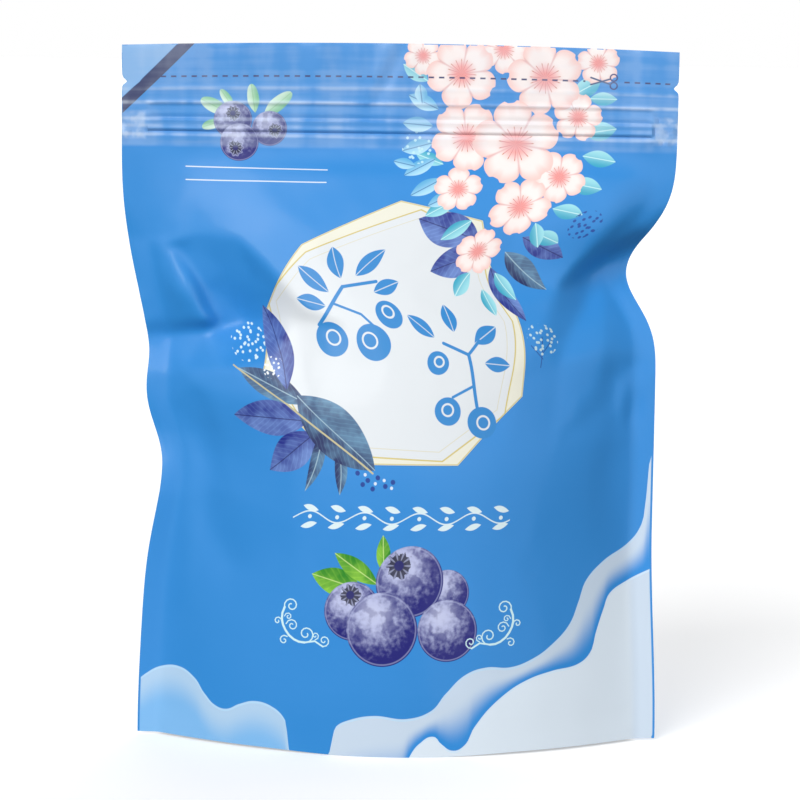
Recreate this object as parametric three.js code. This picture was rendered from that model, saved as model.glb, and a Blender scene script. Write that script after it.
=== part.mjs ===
// A filled stand-up zip pouch of dried blueberries, shut and sealed: one closed bag of film.
// Millimetres, +Z up. The printed front faces -Y, and the origin is the middle of the footprint.
import * as THREE from "three";

// Driving dimensions.
const HEIGHT = 254; // from the table to the middle of the top edge
const TOP_BOW = 1.8; // how much lower the top corners are than its middle
const FOOT_LIFT = 0.9; // how far the foot's outer parts stand clear of the table
const SIDE_SEAL = 7; // the band at each side where front and back are welded together
const WELD = 0.6; // thickness where two films are welded face to face
const ZIP_FOOT = 216; // below it the bag is open and filled, above it the two films lie together
const SKIRT = 4.5; // the welded rim under the bag, below the gusset
const HALF_REACH = 100; // half the width of the empty pouch

// Each side edge, by height: half widths at the foot, the waist and the shoulder, and the pinches
// where the edge buckles in. A pinch fades out over its reach below and above, and its sway is how
// far the edge leans to the back there.
const EDGES = {
  left: {
    foot: 93.6,
    waist: 91,
    shoulderFrom: 105,
    pinches: [
      { z: 101, depth: 6.2, below: 26, above: 17, sway: -3 },
      { z: 144, depth: 3.5, below: 13, above: 32, sway: 2 },
    ],
  },
  right: {
    foot: 97,
    waist: 94.2,
    shoulderFrom: 130,
    pinches: [{ z: 173, depth: 14, below: 17, above: 19, sway: 4 }],
  },
};
const FOOT_FLARE = 80; // height over which the foot's width runs into the waist's
const SHOULDER_TO = 212; // height from which the edges are at full width

// How far the middle of each panel stands out, by height.
const BULGE = [
  [0, 31.5],
  [25, 34.5],
  [70, 37],
  [115, 36],
  [152, 30],
  [185, 18],
  [206, 7],
  [ZIP_FOOT, 1.2],
  [HEIGHT, 0],
];
const ROUNDNESS = 0.88; // 1 is a parabola across the panel, less is fuller towards the sides

// Folds of the film that start at the pinches. Each runs from one point to another of its panel,
// given as [x, z]; a positive height stands out. It fades over `left` and `right`, the reaches on
// either side as seen along its run.
const FRONT_FOLDS = [
  { from: [92, 213], to: [74, 195], heights: [2, 4], left: 6, right: 16 },
  { from: [74, 195], to: [57, 167], heights: [4, 3], left: 6, right: 16 },
  { from: [88, 174], to: [73, 179], heights: [-7, -7], left: 8, right: 8 },
  { from: [73, 179], to: [58, 168], heights: [-7, -3], left: 8, right: 8 },
  { from: [76, 168], to: [77, 126], heights: [3, 1], left: 8, right: 8 },
  { from: [-85, 182], to: [-75, 169], heights: [1.5, 4], left: 5, right: 14 },
  { from: [-75, 169], to: [-68, 154], heights: [4, 5], left: 5, right: 14 },
  { from: [-71, 149.5], to: [-88, 149], heights: [-1.5, -4], left: 6, right: 4 },
  { from: [-66, 182], to: [-56, 158], heights: [-3, -5], left: 9, right: 7 },
  { from: [-53, 184], to: [-38, 160], heights: [1.5, 1], left: 9, right: 9 },
  { from: [-86, 103], to: [-61, 107], heights: [-5, -1.5], left: 12, right: 8 },
  { from: [-74, 93], to: [-60, 68], heights: [-1.5, -2], left: 6, right: 6 },
];
const BACK_FOLDS = [
  { from: [90, 210], to: [56, 176], heights: [3.5, 4], left: 6, right: 16 },
  { from: [88, 174], to: [54, 166], heights: [-8, -4], left: 9, right: 9 },
  { from: [72, 160], to: [70, 120], heights: [2.5, 1], left: 9, right: 9 },
  { from: [-86, 145], to: [-54, 154], heights: [-5, -3], left: 9, right: 9 },
  { from: [-86, 101], to: [-52, 94], heights: [-6, -2], left: 9, right: 11 },
];
const FOLD_CREST = 1.6; // radius that rounds a fold's crest
const FOLD_KEEPS_OFF = 0.16; // share of the half width over which folds die out at the seals

// The zip inside shows as two ribs that stop short of the side edges, where it is crushed flat.
const ZIP_RIBS = [220.5, 225.8];
const RIB_HEIGHT = 0.9;
const RIB_REACH = 1.3;
const ZIP_CRUSH = 9;

// A V nick at both edges, where the bag is torn open.
const NICK_HEIGHT = 240.4;
const NICK_DEPTH = 2.6;
const NICK_REACH = 1.3;

// The gusset rests on the table in the middle and rises to the skirt's weld.
const REST_SHARE = 0.5; // share of the gusset's width that lies flat
const SKIRT_OPENS_OVER = 8; // gap between the panels at which the skirt has its full height

// How finely each stretch of height is divided, from the table to the top edge.
const STRETCHES = [
  { to: ZIP_FOOT - 2, rows: 42 },
  { to: 230, rows: 10 },
  { to: NICK_HEIGHT - NICK_REACH, rows: 2 },
  { to: NICK_HEIGHT + NICK_REACH, rows: 2 },
  { to: HEIGHT, rows: 2 },
];
const PANEL_COLUMNS = 38;
const GUSSET_STRIPS = 8;

const FRONT = -1;
const BACK = 1;

const smooth = (value, from, to) => THREE.MathUtils.smoothstep(value, from, to);
const mix = THREE.MathUtils.lerp;

// A smooth curve through [position, value] knots.
function through(knots, at) {
  const last = knots.length - 1;
  const slope = (k) => {
    const before = knots[Math.max(k - 1, 0)];
    const after = knots[Math.min(k + 1, last)];
    return (after[1] - before[1]) / (after[0] - before[0]);
  };
  const next = Math.max(1, knots.findIndex(([position]) => position >= at));
  const [start, low] = knots[next - 1];
  const [end, high] = knots[next];
  const span = end - start;
  const t = THREE.MathUtils.clamp((at - start) / span, 0, 1);
  const eased = t * t * (3 - 2 * t);
  const leaving = slope(next - 1) * span * t * (1 - t) * (1 - t);
  const arriving = slope(next) * span * t * t * (1 - t);
  return mix(low, high, eased) + leaving - arriving;
}

// How strongly a pinch acts at a height, from 0 to 1.
function pinchShare(pinch, z) {
  const reach = z < pinch.z ? pinch.below : pinch.above;
  return Math.exp(-(((z - pinch.z) / reach) ** 2));
}

// Distance of a side edge from the middle of the pouch.
function halfWidth(edge, z) {
  const shoulder = smooth(z, edge.shoulderFrom, SHOULDER_TO);
  const flare = (edge.foot - edge.waist) * (1 - smooth(z, 0, FOOT_FLARE));
  let width = mix(edge.waist, HALF_REACH, shoulder) + flare;
  for (const pinch of edge.pinches) width -= pinch.depth * pinchShare(pinch, z);
  const nick = NICK_DEPTH * Math.max(0, 1 - Math.abs(z - NICK_HEIGHT) / NICK_REACH);
  return width - nick;
}

// How far a side edge leans to the back.
function sway(edge, z) {
  return edge.pinches.reduce((sum, pinch) => sum + pinch.sway * pinchShare(pinch, z), 0);
}

// What one fold adds at a point of its panel.
function foldAt(fold, x, z) {
  const [runX, runZ] = [fold.to[0] - fold.from[0], fold.to[1] - fold.from[1]];
  const [outX, outZ] = [x - fold.from[0], z - fold.from[1]];
  const run = Math.hypot(runX, runZ);
  const along = THREE.MathUtils.clamp((outX * runX + outZ * runZ) / run ** 2, 0, 1);
  const distance = Math.hypot(outX - along * runX, outZ - along * runZ);
  const reach = runX * outZ - runZ * outX > 0 ? fold.left : fold.right;
  const fade = Math.hypot(distance, FOLD_CREST) - FOLD_CREST;
  return mix(...fold.heights, along) * Math.exp(-fade / reach);
}

// The zip's ribs, which the film shows in relief.
function zipRelief(x, z, edgeX) {
  const inside = smooth(Math.abs(edgeX) - Math.abs(x), ZIP_CRUSH - 2, ZIP_CRUSH + 2);
  const rib = (at) => Math.max(0, 1 - ((z - at) / RIB_REACH) ** 2);
  return RIB_HEIGHT * inside * ZIP_RIBS.reduce((sum, at) => sum + rib(at), 0);
}

// A point of the front or back panel. Across runs from -1 at the left edge to 1 at the right one.
function panelPoint(side, across, height) {
  const left = -halfWidth(EDGES.left, height);
  const right = halfWidth(EDGES.right, height);
  const sealShare = SIDE_SEAL / HALF_REACH;
  const inner = THREE.MathUtils.clamp(across / (1 - sealShare), -1, 1);
  const beyond = (across - inner * (1 - sealShare)) / sealShare;
  const x = mix(left + SIDE_SEAL, right - SIDE_SEAL, (inner + 1) / 2) + beyond * SIDE_SEAL;

  const lean = mix(sway(EDGES.left, height), sway(EDGES.right, height), (across + 1) / 2);
  const folds = side === FRONT ? FRONT_FOLDS : BACK_FOLDS;
  const open = 1 - smooth(height, ZIP_FOOT - 12, ZIP_FOOT);
  const keepOff = smooth(1 - Math.abs(inner), 0, FOLD_KEEPS_OFF);
  const footKeeps = smooth(height, 0, FOOT_FLARE);
  const heights = folds.map((fold) => foldAt(fold, x, height));
  const relief = Math.max(0, ...heights) + Math.min(0, ...heights);
  const bulge = through(BULGE, height) * (1 - inner ** 2) ** ROUNDNESS;
  const outward =
    WELD / 2 +
    bulge +
    relief * open * keepOff * footKeeps +
    zipRelief(x, height, across < 0 ? left : right);
  const bow = TOP_BOW * (x / HALF_REACH) ** 2 * smooth(height, ZIP_FOOT, HEIGHT);
  const lift = FOOT_LIFT * smooth(Math.abs(x), 10, 50) * (1 - smooth(height, 0, FOOT_FLARE));
  const z = height - bow + lift;
  return new THREE.Vector3(x, lean + side * outward, z);
}

// The heights of the rows of points, from the table to the top edge.
function rowHeights() {
  const heights = [0];
  for (const { to, rows } of STRETCHES) {
    const from = heights.at(-1);
    for (let row = 1; row <= rows; row++) heights.push(mix(from, to, row / rows));
  }
  return heights;
}

// The places of the columns across a panel: one step over each side seal, even ones between.
function columnPlaces() {
  const inner = 1 - SIDE_SEAL / HALF_REACH;
  const places = [-1];
  for (let column = 0; column <= PANEL_COLUMNS; column++) {
    places.push(mix(-inner, inner, column / PANEL_COLUMNS));
  }
  return [...places, 1];
}

// The gusset between the feet of the two panels: down the skirt's inside, across and up again.
function gussetPoints(front, back, across) {
  const gap = back.y - front.y;
  const wall = Math.min(WELD, gap / 5);
  const rise = SKIRT * smooth(gap, WELD * 3, SKIRT_OPENS_OVER * 2);
  const resting = REST_SHARE * (1 - across ** 2);
  const ground = front.z * smooth(Math.abs(across), 0.5, 0.9);
  const points = [];
  for (let strip = 0; strip <= GUSSET_STRIPS; strip++) {
    const share = (2 * strip) / GUSSET_STRIPS - 1;
    const y = mix(front.y + wall * 1.3, back.y - wall * 1.3, (share + 1) / 2);
    const z = mix(ground, front.z + rise, smooth(Math.abs(share), resting, 1));
    points.push(new THREE.Vector3(front.x, y, z));
  }
  const foot = (y) => new THREE.Vector3(front.x, y, front.z);
  return [foot(front.y + wall), ...points, foot(back.y - wall)];
}

// One loop of points round the pouch at a place across it: down the front, under, up the back.
function loopAt(across, heights) {
  const front = heights.map((height) => panelPoint(FRONT, across, height)).reverse();
  const back = heights.map((height) => panelPoint(BACK, across, height));
  return [...front, ...gussetPoints(front.at(-1), back[0], across), ...back];
}

// The closed surface: neighbouring loops joined by quads, and the first and last loop capped.
function pouchGeometry() {
  const heights = rowHeights();
  const loops = columnPlaces().map((across) => loopAt(across, heights));
  const around = loops[0].length;
  const index = [];
  const quad = (a, b, c, d) => index.push(a, b, c, a, c, d);

  for (let loop = 0; loop < loops.length - 1; loop++) {
    for (let step = 0; step < around; step++) {
      const here = loop * around + step;
      const next = loop * around + ((step + 1) % around);
      quad(here, next, next + around, here + around);
    }
  }

  // A cap is a strip between the front and back rows, closed by a fan over the gusset's points.
  const rows = heights.length;
  const cap = (start, outward) => {
    const triangle = (a, b, c) => index.push(...(outward ? [a, b, c] : [a, c, b]));
    for (let row = 0; row < rows - 1; row++) {
      const [front, back] = [start + row, start + around - 1 - row];
      if (row < rows - 2) {
        triangle(front, back, back - 1);
        triangle(front, back - 1, front + 1);
      } else {
        for (let step = front + 1; step < back; step++) triangle(front, step + 1, step);
      }
    }
  };
  cap(0, true);
  cap((loops.length - 1) * around, false);

  const positions = loops.flat().flatMap((point) => point.toArray());
  const geometry = new THREE.BufferGeometry();
  geometry.setAttribute("position", new THREE.Float32BufferAttribute(positions, 3));
  geometry.setIndex(index);
  geometry.computeVertexNormals();
  return geometry;
}

// Satin printed film: matt blue with a soft sheen.
const film = new THREE.MeshStandardMaterial({ color: 0x3f8fd8, roughness: 0.38, metalness: 0 });

const pouch = new THREE.Mesh(pouchGeometry(), film);
pouch.name = "pouch";

const part = new THREE.Group();
part.add(pouch);

export default part;
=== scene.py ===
# %% [markdown]
# # A bag of dried blueberries
#
# The object is a stand-up pouch of printed plastic film, filled, pressed shut and heat sealed. This lesson
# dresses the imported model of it: the film is shaped and relaxed as cloth, then printed with shader nodes.
# Blender works in metres, with +Z up, and the front of the pouch faces -Y.

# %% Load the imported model
import math

import bpy
import numpy as np
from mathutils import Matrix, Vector
from mathutils.geometry import delaunay_2d_cdt


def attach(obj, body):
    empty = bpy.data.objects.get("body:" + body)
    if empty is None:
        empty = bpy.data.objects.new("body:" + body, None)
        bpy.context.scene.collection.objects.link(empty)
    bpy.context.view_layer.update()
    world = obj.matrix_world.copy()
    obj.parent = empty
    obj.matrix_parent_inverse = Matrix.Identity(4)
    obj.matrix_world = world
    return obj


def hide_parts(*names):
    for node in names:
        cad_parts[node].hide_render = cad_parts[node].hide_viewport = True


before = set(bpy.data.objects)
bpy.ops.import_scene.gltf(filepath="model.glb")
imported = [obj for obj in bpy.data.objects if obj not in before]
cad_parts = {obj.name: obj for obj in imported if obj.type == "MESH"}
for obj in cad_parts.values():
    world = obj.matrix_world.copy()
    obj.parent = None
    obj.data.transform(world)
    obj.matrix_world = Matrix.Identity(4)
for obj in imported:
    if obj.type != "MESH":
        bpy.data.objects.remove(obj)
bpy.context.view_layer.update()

bpy.ops.object.select_all(action="DESELECT")
scene = bpy.context.scene

# %% [markdown]
# ## The camera
#
# The pouch was photographed from a little over a metre away with a long lens, from about seven degrees
# above the middle of the pouch, so its straight seals stay straight. The camera looks at the middle of the
# front and is rolled a little, as the top edge in the picture falls to the right.

# %% Camera
MM = 0.001
LOOK_AT = Vector((0, 0, 0.127))
CAMERA_DISTANCE = 1.1
CAMERA_RISE = math.radians(7.0)
CAMERA_ROLL = math.radians(0.8)
SENSOR = 36  # mm, across the picture
PICTURE_PX = 800
PX_PER_METRE = 2750  # at the middle of the pouch
MIDDLE_PX = (396, 395)  # where the middle of the pouch falls in the picture

bpy.ops.object.camera_add(
    location=LOOK_AT + CAMERA_DISTANCE * Vector((0, -math.cos(CAMERA_RISE), math.sin(CAMERA_RISE)))
)
camera = bpy.context.object
camera.name = "camera"
camera.rotation_euler = (math.pi / 2 - CAMERA_RISE, 0, 0)
camera.rotation_euler.rotate_axis("Z", CAMERA_ROLL)
camera.data.sensor_width = SENSOR
camera.data.lens = SENSOR * PX_PER_METRE * CAMERA_DISTANCE / PICTURE_PX
camera.data.shift_x = (PICTURE_PX / 2 - MIDDLE_PX[0]) / PICTURE_PX
camera.data.shift_y = (MIDDLE_PX[1] - PICTURE_PX / 2) / PICTURE_PX
camera.data.clip_end = 20
scene.camera = camera
scene.view_settings.view_transform = "Standard"
print("lens:", round(camera.data.lens, 1), "mm")

# %% [markdown]
# ## The outline of the pouch
#
# Film keeps its width where it's flat, at the top, and draws in where the pouch is filled. The side seals
# are stiff strips that can't shorten, so they buckle: twice on the left and once, strongly, on the right.
# The same values and functions shape the solid model, in millimetres, so that this film fits it.

# %% Outline and section
HEIGHT = 254  # from the table to the middle of the top edge
TOP_BOW = 1.8  # how much lower the top corners are
FOOT_LIFT = 0.9  # how far the foot's outer parts stand clear of the table
SIDE_SEAL = 7  # width of the side seals
WELD = 0.6  # thickness of two welded films
ZIP_FOOT = 216  # where the open, filled part ends
FOOT_FLARE = 80  # up to here the foot narrows to the waist
SHOULDER_TO = 212  # from here on the film is as wide as when it's flat
HALF_REACH = 100  # half the width of the flat pouch

# Half widths at the foot and the waist, the height where the shoulder starts, and the buckles:
# height, depth, reach below, reach above and lean to the back.
LEFT_EDGE = (93.6, 91, 105, [(101, 6.2, 26, 17, -3), (144, 3.5, 13, 32, 2)])
RIGHT_EDGE = (97, 94.2, 130, [(173, 14, 17, 19, 4)])

# How far the middle of the front stands out at each height, and how round the film is from side to side.
BULGE = [(0, 31.5), (25, 34.5), (70, 37), (115, 36), (152, 30), (185, 18), (206, 7), (ZIP_FOOT, 1.2),
         (HEIGHT, 0)]
ROUNDNESS = 1.05


def smooth(value, start, end):
    """From 0 before the start to 1 past the end, with soft ends."""
    t = np.clip((np.asarray(value, float) - start) / (end - start), 0, 1)
    return t * t * (3 - 2 * t)


def mix(low, high, share):
    return low + (high - low) * share


def through(knots, at):
    """A smooth curve through (position, value) knots."""
    place, value = np.array(knots, float).T
    slope = np.gradient(value) / np.gradient(place)
    k = np.clip(np.searchsorted(place, at) - 1, 0, len(place) - 2)
    span = place[k + 1] - place[k]
    t = np.clip((at - place[k]) / span, 0, 1)
    bend = (slope[k] * (1 - t) - slope[k + 1] * t) * span * t * (1 - t)
    return mix(value[k], value[k + 1], t * t * (3 - 2 * t)) + bend


def buckle_share(buckle, z):
    """How strongly a buckle acts at each height, from 0 to 1."""
    height, _, below, above, _ = buckle
    return np.exp(-(((z - height) / np.where(z < height, below, above)) ** 2))


def half_width(edge, z):
    """How far a side edge is from the middle at each height."""
    foot, waist, shoulder_from, buckles = edge
    width = mix(waist, HALF_REACH, smooth(z, shoulder_from, SHOULDER_TO))
    width = width + (foot - waist) * (1 - smooth(z, 0, FOOT_FLARE))
    return width - sum(b[1] * buckle_share(b, z) for b in buckles)


def lean(edge, z):
    """How far a side edge leans to the back at each height."""
    return sum(b[4] * buckle_share(b, z) for b in edge[3])


waist = half_width(LEFT_EDGE, 101) + half_width(RIGHT_EDGE, 101)
print("width at the waist:", round(float(waist), 1), "mm")

# %% [markdown]
# ## The folds
#
# Each buckle in a side seal sends folds into the film: a crest where the film turns over, and a valley
# beside it. A fold is stated as a run of points on the panel, how far it stands out at each, and how fast
# it fades to the left and to the right of its run. These start the film off in the right pattern, and the
# cloth solver then lets it settle.

# %% Folds
# Points are (x, z, height); then the fade to the left and to the right of the run.
FRONT_FOLDS = [
    ([(90, 204, 1.5), (73, 187, 3), (60, 169, 2)], 14, 12),
    ([(88, 174, -4), (73, 174, -3)], 10, 10),
    ([(-88, 175, 1), (-77, 164, 3), (-70, 156, 2)], 9, 12),
    ([(-66, 176, -2), (-57, 158, -3)], 12, 12),
    ([(-86, 103, -4), (-61, 107, -1.5)], 12, 10),
    ([(-74, 93, -1.5), (-60, 68, -2)], 8, 8),
]
BACK_FOLDS = [
    ([(90, 210, 3.5), (56, 176, 4)], 6, 16),
    ([(88, 174, -8), (54, 166, -4)], 9, 9),
    ([(72, 160, 2.5), (70, 120, 1)], 9, 9),
    ([(-86, 145, -5), (-54, 154, -3)], 9, 9),
    ([(-86, 101, -6), (-52, 94, -2)], 9, 11),
]
FOLD_CREST = 4  # how rounded a crest is
FOLD_KEEPS_OFF = 0.16  # share of the half width over which folds fade out at the seals


def fold_relief(folds, x, z):
    """How far all folds together move the film, out or in."""
    out, into = np.zeros_like(x), np.zeros_like(x)
    for points, left, right in folds:
        for (x0, z0, h0), (x1, z1, h1) in zip(points, points[1:]):
            run_x, run_z = x1 - x0, z1 - z0
            along = np.clip(((x - x0) * run_x + (z - z0) * run_z) / (run_x**2 + run_z**2), 0, 1)
            away = np.hypot(x - x0 - along * run_x, z - z0 - along * run_z)
            reach = np.where(run_x * (z - z0) - run_z * (x - x0) > 0, left, right)
            fade = np.hypot(away, FOLD_CREST) - FOLD_CREST
            height = mix(h0, h1, along) * np.exp(-fade / reach)
            out, into = np.maximum(out, height), np.minimum(into, height)
    return out + into


print("folds:", len(FRONT_FOLDS), "in front,", len(BACK_FOLDS), "behind")

# %% [markdown]
# ## From flat film to standing pouch
#
# Every point of the film has a place on the flat sheet: how far across, from -1 to 1, and how far up, in
# millimetres. The film is longer up the bulging middle than up the side seals, so the same distance up the
# sheet is reached at different heights. Keeping track of this lets the print stay true to the film, as on a
# real pouch, where it's printed flat.

# %% Film lengths
NICK_HEIGHT, NICK_DEPTH, NICK_REACH = 240.4, 2.6, 1.3  # the tear nicks in the side edges
heights = np.linspace(0, ZIP_FOOT, 433)


def path_length(*coordinates):
    """The length of a path from its start to each of its points."""
    steps = np.hypot.reduce([np.diff(c) for c in coordinates])
    return np.concatenate([[0], np.cumsum(steps)])


up_middle = path_length(heights, through(BULGE, heights))
FILM_BELLY = float(up_middle[-1])  # film from the foot to the zip, up the middle
FILM_TOP = FILM_BELLY + HEIGHT - ZIP_FOOT


def edge_height(edge, up):
    """The height that a distance up the film reaches along a side seal."""
    length = path_length(heights, half_width(edge, heights), lean(edge, heights))
    return np.interp(up, length * FILM_BELLY / length[-1], heights) + np.maximum(up - FILM_BELLY, 0)


def panel_points(side, across, up):
    """Points of the front (side -1) or back (side 1) panel, in millimetres."""
    seal = SIDE_SEAL / HALF_REACH
    inner = np.clip(across / (1 - seal), -1, 1)
    beyond = (across - inner * (1 - seal)) / seal
    in_middle = np.interp(up, up_middle, heights) + np.maximum(up - FILM_BELLY, 0)
    at_edge = mix(edge_height(LEFT_EDGE, up), edge_height(RIGHT_EDGE, up), (inner + 1) / 2)
    height = mix(in_middle, at_edge, 1 - (1 - inner**2) ** 2)

    left, right = -half_width(LEFT_EDGE, height), half_width(RIGHT_EDGE, height)
    nick = NICK_DEPTH * np.maximum(0, 1 - np.abs(height - NICK_HEIGHT) / NICK_REACH)
    x = mix(left + SIDE_SEAL, right - SIDE_SEAL, (inner + 1) / 2) + beyond * (SIDE_SEAL - nick)
    open_share = 1 - smooth(height, ZIP_FOOT - 12, ZIP_FOOT)
    keep_off = smooth(1 - np.abs(inner), 0, FOLD_KEEPS_OFF) * smooth(height, 0, FOOT_FLARE)
    folds = fold_relief(FRONT_FOLDS if side < 0 else BACK_FOLDS, x, height)
    out = through(BULGE, height) * (1 - inner**2) ** ROUNDNESS + folds * open_share * keep_off
    weld = WELD / 2 * (1 - smooth(np.abs(across), 0.99, 1)) * smooth(FILM_TOP - up, 0, 1)
    y = mix(lean(LEFT_EDGE, height), lean(RIGHT_EDGE, height), (across + 1) / 2) + side * (out + weld)
    bow = TOP_BOW * (x / HALF_REACH) ** 2 * smooth(height, ZIP_FOOT, HEIGHT)
    lift = FOOT_LIFT * smooth(np.abs(x), 10, 50) * (1 - smooth(height, 0, FOOT_FLARE))
    return np.stack([x, y, height - bow + lift], -1)


print("film up the middle:", round(FILM_TOP, 1), "mm for a pouch", HEIGHT, "mm high")

# %% [markdown]
# ## The gusset
#
# Under the foot a third sheet of film is folded up between front and back. When the pouch is filled it
# opens out and carries the weight: its middle lies on the table, and round it the welded skirt stands like
# a foot ring. It's part of the same strip of film here, between the foot of the front and that of the back.

# %% Gusset
SKIRT = 4.5  # height of the foot ring
SKIRT_OPENS_OVER = 16  # gap between the panels at which the skirt has its full height
REST_SHARE = 0.5  # share of the gusset's depth that lies on the table
GUSSET_STEPS = 14


def gusset_points(front, back, across):
    """Rows of points from the foot of the front panel to the foot of the back panel."""
    gap = back[:, 1] - front[:, 1]
    wall = np.minimum(WELD * 0.6, gap / 5)
    rise = SKIRT * smooth(gap, WELD * 3, SKIRT_OPENS_OVER)
    table = front[:, 2] * smooth(np.abs(across), 0.5, 0.9)
    rows = [np.stack([front[:, 0], front[:, 1] + wall, front[:, 2]], -1)]
    for step in range(GUSSET_STEPS + 1):
        share = 2 * step / GUSSET_STEPS - 1
        y = mix(front[:, 1] + wall * 1.3, back[:, 1] - wall * 1.3, (share + 1) / 2)
        z = mix(table, front[:, 2] + rise, smooth(abs(share), REST_SHARE * (1 - across**2), 1))
        rows.append(np.stack([front[:, 0], y, z], -1))
    rows.append(np.stack([back[:, 0], back[:, 1] - wall, back[:, 2]], -1))
    return rows


print("gusset rows:", GUSSET_STEPS + 3)

# %% [markdown]
# ## The strip of film
#
# The pouch starts as one flat grid, as on the machine that makes it: a strip that runs down the front,
# under the foot and up the back. Its points are moved to the standing shape, and the edges that meet, at the
# sides and along the top, are merged into seals. Each point remembers its place on the flat film, for the
# cloth solver and for the print.

# %% Fold up the strip
COLUMNS = 84
BELLY_ROWS = 96
# Heights of the rows from the zip to the top edge, close together where the zip has its relief.
TOP_ROW_HEIGHTS = [217.5, 219, 220.2, 221, 221.6, 222.2, 222.8, 224, 225.3, 226, 226.6, 227.2, 228.4, 230,
                   231.2, 231.9, 232.5, 233.1, 234.2, 236, 237.8, 239.2, 240.4, 241.6, 244, 247, 250, 252.4,
                   253.5, HEIGHT]
SEAL_COLUMNS = [1, 0.997, 0.965]  # from the edge inwards, as shares of the half width
inner_columns = np.linspace(-0.93, 0.93, COLUMNS - 5)
across_places = np.array([-c for c in SEAL_COLUMNS] + list(inner_columns) + SEAL_COLUMNS[::-1])
up_places = np.concatenate([
    np.linspace(0, FILM_BELLY, BELLY_ROWS + 1),
    FILM_BELLY + np.array(TOP_ROW_HEIGHTS) - ZIP_FOOT,
])

front_rows = [panel_points(-1, across_places, np.full_like(across_places, up)) for up in up_places[::-1]]
back_rows = [panel_points(1, across_places, np.full_like(across_places, up)) for up in up_places]
under_rows = gusset_points(front_rows[-1], back_rows[0], across_places)
strip = np.concatenate(front_rows + under_rows + back_rows)
strip_up = np.concatenate([
    np.repeat(up_places[::-1], len(across_places)),
    np.zeros(len(under_rows) * len(across_places)),
    np.repeat(up_places, len(across_places)),
])
strip_side = np.repeat(
    [-1.0] * len(front_rows) + [0.0] * len(under_rows) + [1.0] * len(back_rows), len(across_places)
)
rows = len(front_rows) + len(under_rows) + len(back_rows)

bpy.ops.mesh.primitive_grid_add(x_subdivisions=len(across_places) - 1, y_subdivisions=rows - 1, size=0.2)
pouch = bpy.context.object
pouch.name = pouch.data.name = "pouch_film"
mesh = pouch.data
for name, values in (
    ("across", np.tile(across_places, rows)), ("up", strip_up), ("side", strip_side),
):
    mesh.attributes.new(name, "FLOAT", "POINT").data.foreach_set("value", values.astype(np.float32))
mesh.vertices.foreach_set("co", (strip * MM).astype(np.float32).ravel())
mesh.update()
print("strip:", len(mesh.vertices), "points")

# %% [markdown]
# ## A map of the flat film
#
# The print needs to know where on the flat sheet each spot of the film is. A UV map can hold that, here in
# real millimetres: the front round the middle, the back to the right of it and the gusset below.

# %% Film map
BACK_SHEET_AT = 300  # the back lies this far to the right of the front on the map
GUSSET_AT = -100  # the gusset lies this far below it
film_map = mesh.uv_layers.new(name="film")
corner_vertex = np.empty(len(mesh.loops), int)
mesh.loops.foreach_get("vertex_index", corner_vertex)
map_u = np.tile(across_places, rows) * HALF_REACH
map_u = np.where(strip_side > 0, BACK_SHEET_AT - map_u, map_u)
map_v = np.where(strip_side == 0, GUSSET_AT + strip[:, 1], strip_up)
film_map.data.foreach_set("uv", np.stack([map_u, map_v], -1)[corner_vertex].astype(np.float32).ravel())
mesh.uv_layers.active = film_map
film_map.active_render = True
print("maps:", [layer.name for layer in mesh.uv_layers])

# %% [markdown]
# ## Weld the seals
#
# The strip's edges already lie on each other at the sides and along the top. Merging their points closes
# the pouch, and then every face can be turned outwards. A closed pouch has no open edges left.

# %% Weld the seals
bpy.ops.object.mode_set(mode="EDIT")
bpy.ops.mesh.select_all(action="SELECT")
bpy.ops.mesh.remove_doubles(threshold=1e-6)
bpy.ops.mesh.select_all(action="SELECT")
bpy.ops.mesh.normals_make_consistent(inside=False)
bpy.ops.mesh.select_all(action="DESELECT")
bpy.ops.mesh.select_non_manifold()
bpy.ops.object.mode_set(mode="OBJECT")


def numbers(name):
    """A named number of every point of the film, or its position in millimetres."""
    if name == "position":
        values = np.empty(len(mesh.vertices) * 3, np.float32)
        mesh.vertices.foreach_get("co", values)
        return values.reshape(-1, 3).astype(float) / MM
    values = np.empty(len(mesh.vertices), np.float32)
    mesh.attributes[name].data.foreach_get("value", values)
    return values.astype(float)


def move_points(points):
    """Move every point of the film to a place in millimetres."""
    mesh.vertices.foreach_set("co", (points * MM).astype(np.float32).ravel())
    mesh.update()


print("film:", len(mesh.vertices), "points, open edges:", sum(e.select for e in mesh.edges))

# %% [markdown]
# ## Let the film settle
#
# Real film bends easily but hardly stretches. The cloth solver is told what the flat sheet looked like,
# through a rest shape key, so that where the seals draw together there's too much film for the space, and it
# wrinkles. The seals, the zip and the gusset are held, and pressure from inside keeps the film out. How far
# a point may move is capped, so that the pouch keeps its size.

# %% Cloth
across, up, side = numbers("across"), numbers("up"), numbers("side")
started = numbers("position")
SETTLE_FRAMES = 14
MOST_MOVED = 3.0  # in millimetres, in the upper part
FLAT_WIDER = 1.025  # the flat sheet against the width between the seals, as the front bulges

pouch.shape_key_add(name="standing")
flat = started.copy()
on_panel = side != 0
flat[on_panel] = np.stack([across * HALF_REACH * FLAT_WIDER, side * 2, up], -1)[on_panel]
flat_key = pouch.shape_key_add(name="flat sheet")
flat_key.data.foreach_set("co", (flat * MM).astype(np.float32).ravel())
flat_key.value = 0

seal_share = 1 - SIDE_SEAL / HALF_REACH
held = (np.abs(across) > seal_share - 0.002) | (up > FILM_BELLY - 3) | ~on_panel | (up < 2)
held_group = pouch.vertex_groups.new(name="held")
held_group.add(np.flatnonzero(held).tolist(), 1.0, "REPLACE")

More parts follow.
